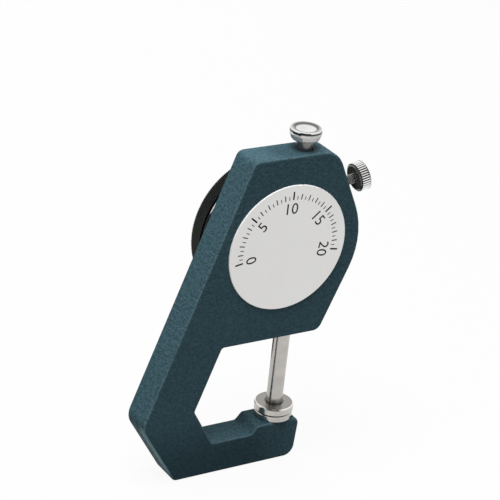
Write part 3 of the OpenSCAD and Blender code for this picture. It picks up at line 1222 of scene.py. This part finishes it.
@dataclass
class Movement:
    """Everything inside: plate, bearings, bushes, pinion, springs and the lock screw's pad."""

    brass: TooledMetal = TooledMetal(
        "turned_brass",
        colour=(0.72, 0.53, 0.24),
        shade=(0.55, 0.39, 0.16),
        rough=0.26,
        marks=0.14,
        grain=Grain.AROUND_DIAL,
    )
    bush: TooledMetal = TooledMetal(
        "bush_brass",
        colour=(0.7, 0.52, 0.25),
        shade=(0.55, 0.4, 0.17),
        rough=0.3,
        marks=0.14,
        grain=Grain.AROUND_Z,
    )
    blued: TooledMetal = TooledMetal(
        "blued_spring",
        colour=(0.16, 0.19, 0.3),
        shade=(0.1, 0.12, 0.2),
        rough=0.24,
        marks=0.1,
        grain=Grain.CLOUDY,
    )
    screw: TooledMetal = TooledMetal(
        "small_screws",
        colour=(0.6, 0.6, 0.58),
        shade=(0.48, 0.48, 0.46),
        rough=0.26,
        marks=0.12,
        grain=Grain.CLOUDY,
    )

    def dress(self, nodes: Solids) -> None:
        """Gives the inner pieces their metals.

        Args:
            nodes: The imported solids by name.
        """
        fixed = ["movement_plate", "front_bearing", "rear_bearing"]
        turning = ["pinion", "spring_collet", "pointer_hub"]
        dress(nodes, fixed + turning, self.brass)
        dress(nodes, ["lower_bush", "upper_bush", "lock_pad"], self.bush)
        dress(nodes, ["return_spring", "bezel_wire"], self.blued)
        dress(nodes, ["plate_screws", "spring_stud"], self.screw)


@dataclass(frozen=True)
class Lamp:
    """A square soft lamp: way from the gauge, edge in metres and how bright it makes white paper."""

    name: str
    toward: Triple
    size: float
    level: float


@dataclass(frozen=True)
class Card:
    """A dark card: centre, width and height in metres, and Euler angles in degrees."""

    name: str
    at: Triple
    size: Span
    turn: Triple = ZERO


@dataclass
class Studio:
    """Camera, lamps, floor, dark cards and white surround."""

    eye: Triple = (0.260724, 0.371963, 0.268348)
    aim: Triple = (64.8016, -5.6495, 148.9109)
    lens: float = 146.889
    sensor: float = 36.0
    near_clip: float = 0.01
    middle: Triple = (0.012, 0.0, 0.045)
    lamp_far: float = 0.7
    lamps: Tuple[Lamp, ...] = (
        Lamp("key", toward=(0.2, 0.1, 0.97), size=0.4, level=1.6),
        Lamp("fill_front", toward=(-0.2, -0.9, 0.45), size=0.5, level=0.6),
    )
    cards: Tuple[Card, ...] = (
        Card("flag_floor", at=(0.02, -0.095, 0.0008), size=(0.11, 0.09)),
        Card("flag_side", at=(0.24, -0.03, 0.0008), size=(0.24, 0.25)),
        Card("flag_near", at=(0.34, 0.5, 0.25), size=(1.0, 0.26), turn=(90.0, 0.0, 145.8)),
    )
    felt: Colour = (0.02, 0.02, 0.02)
    felt_rough: float = 0.9
    ambient: float = 0.2
    floor_edge: float = 6.0
    floor_drop: float = 0.02 * MM
    floor_grey: Colour = (0.32, 0.32, 0.32)
    floor_rough: float = 0.7
    floor_glow: float = 1.04
    floor_glow_mix: float = 0.9

    def camera(self) -> None:
        """Sets the camera at the photograph's viewing angle."""
        data = bpy.data.cameras.new("view")
        data.sensor_width = self.sensor
        data.lens = self.lens
        data.clip_start = self.near_clip
        made = bpy.data.objects.new("view", data)
        made.location = self.eye
        made.rotation_euler = Euler([math.radians(angle) for angle in self.aim], "XYZ")
        bpy.context.scene.collection.objects.link(made)
        bpy.context.scene.camera = made

    def light(self, lamp: Lamp) -> None:
        """Hangs a lamp that faces the middle of the gauge.

        Args:
            lamp: The lamp.
        """
        data = bpy.data.lights.new(lamp.name, "AREA")
        data.size = lamp.size
        data.energy = lamp.level * (math.pi * self.lamp_far) ** 2
        made = bpy.data.objects.new(lamp.name, data)
        way = Vector(lamp.toward).normalized()
        made.location = Vector(self.middle) + way * self.lamp_far
        made.rotation_euler = way.to_track_quat("Z", "Y").to_euler()
        made.visible_camera = made.visible_glossy = False
        bpy.context.scene.collection.objects.link(made)

    def stand(self, card: Card) -> None:
        """Stands a card that only reflections see, so that bright metal has something to mirror.

        Args:
            card: The card.
        """
        Bench.clear()
        turn = [math.radians(angle) for angle in card.turn]
        bpy.ops.mesh.primitive_plane_add(size=1.0, location=card.at, rotation=turn)
        made = bpy.context.object
        made.name = card.name
        made.scale = (*card.size, 1.0)
        Bench.fix()
        graph = Graph(card.name + "_felt")
        graph.set(Base_Color=self.felt, Roughness=self.felt_rough, Specular_IOR_Level=0.0)
        made.data.materials.append(graph.material)
        made.visible_camera = made.visible_diffuse = False
        made.visible_shadow = made.visible_transmission = False

    def surround(self) -> None:
        """White to the camera, mirrors and glass; a plain level for the rest."""
        world = bpy.data.worlds.new("surround")
        bpy.context.scene.world = world
        world.use_nodes = True
        sky = Tree(world.node_tree)
        plain = sky.node("ShaderNodeBackground", {}, {"Color": WHITE, "Strength": self.ambient})
        white = sky.node("ShaderNodeBackground", {}, {"Color": WHITE, "Strength": 1.0})
        out = sky.node("ShaderNodeOutputWorld", {}, {})
        sky.blend(out, sky.seen(), plain.outputs[0], white.outputs[0])

    def floor(self) -> None:
        """A pale floor that reads white to the camera and keeps a soft shadow."""
        Bench.clear()
        bpy.ops.mesh.primitive_plane_add(size=self.floor_edge, location=(0, 0, -self.floor_drop))
        ground = bpy.context.object
        ground.name = "floor"
        graph = Graph("pale_floor")
        graph.set(Base_Color=self.floor_grey, Roughness=self.floor_rough, Specular_IOR_Level=0.0)
        glow = graph.node("ShaderNodeEmission", {}, {"Color": WHITE, "Strength": self.floor_glow})
        share = graph.seen() * self.floor_glow_mix
        graph.blend(graph.out, share, graph.shader.outputs[0], glow.outputs[0])
        ground.data.materials.append(graph.material)

    def build(self) -> None:
        """Sets up the whole studio."""
        bpy.context.scene.view_settings.view_transform = "Standard"
        self.camera()
        self.surround()
        self.floor()
        for lamp in self.lamps:
            self.light(lamp)
        for card in self.cards:
            self.stand(card)
        LOG.info("studio with %d lamps and %d cards", len(self.lamps), len(self.cards))


def main() -> None:
    """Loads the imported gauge, dresses it and sets up the studio."""
    logging.basicConfig(level=logging.INFO, format="%(message)s")
    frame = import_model()
    nodes = frame["nodes"]
    Bench.clear()
    ink = INK.make()
    FrameCasting().dress(nodes, ink)
    MeasuringLine().dress(nodes)
    DialHead().dress(nodes, ink)
    LockScrew().dress(nodes)
    Movement().dress(nodes)
    Studio().build()


if __name__ == "__main__":
    main()
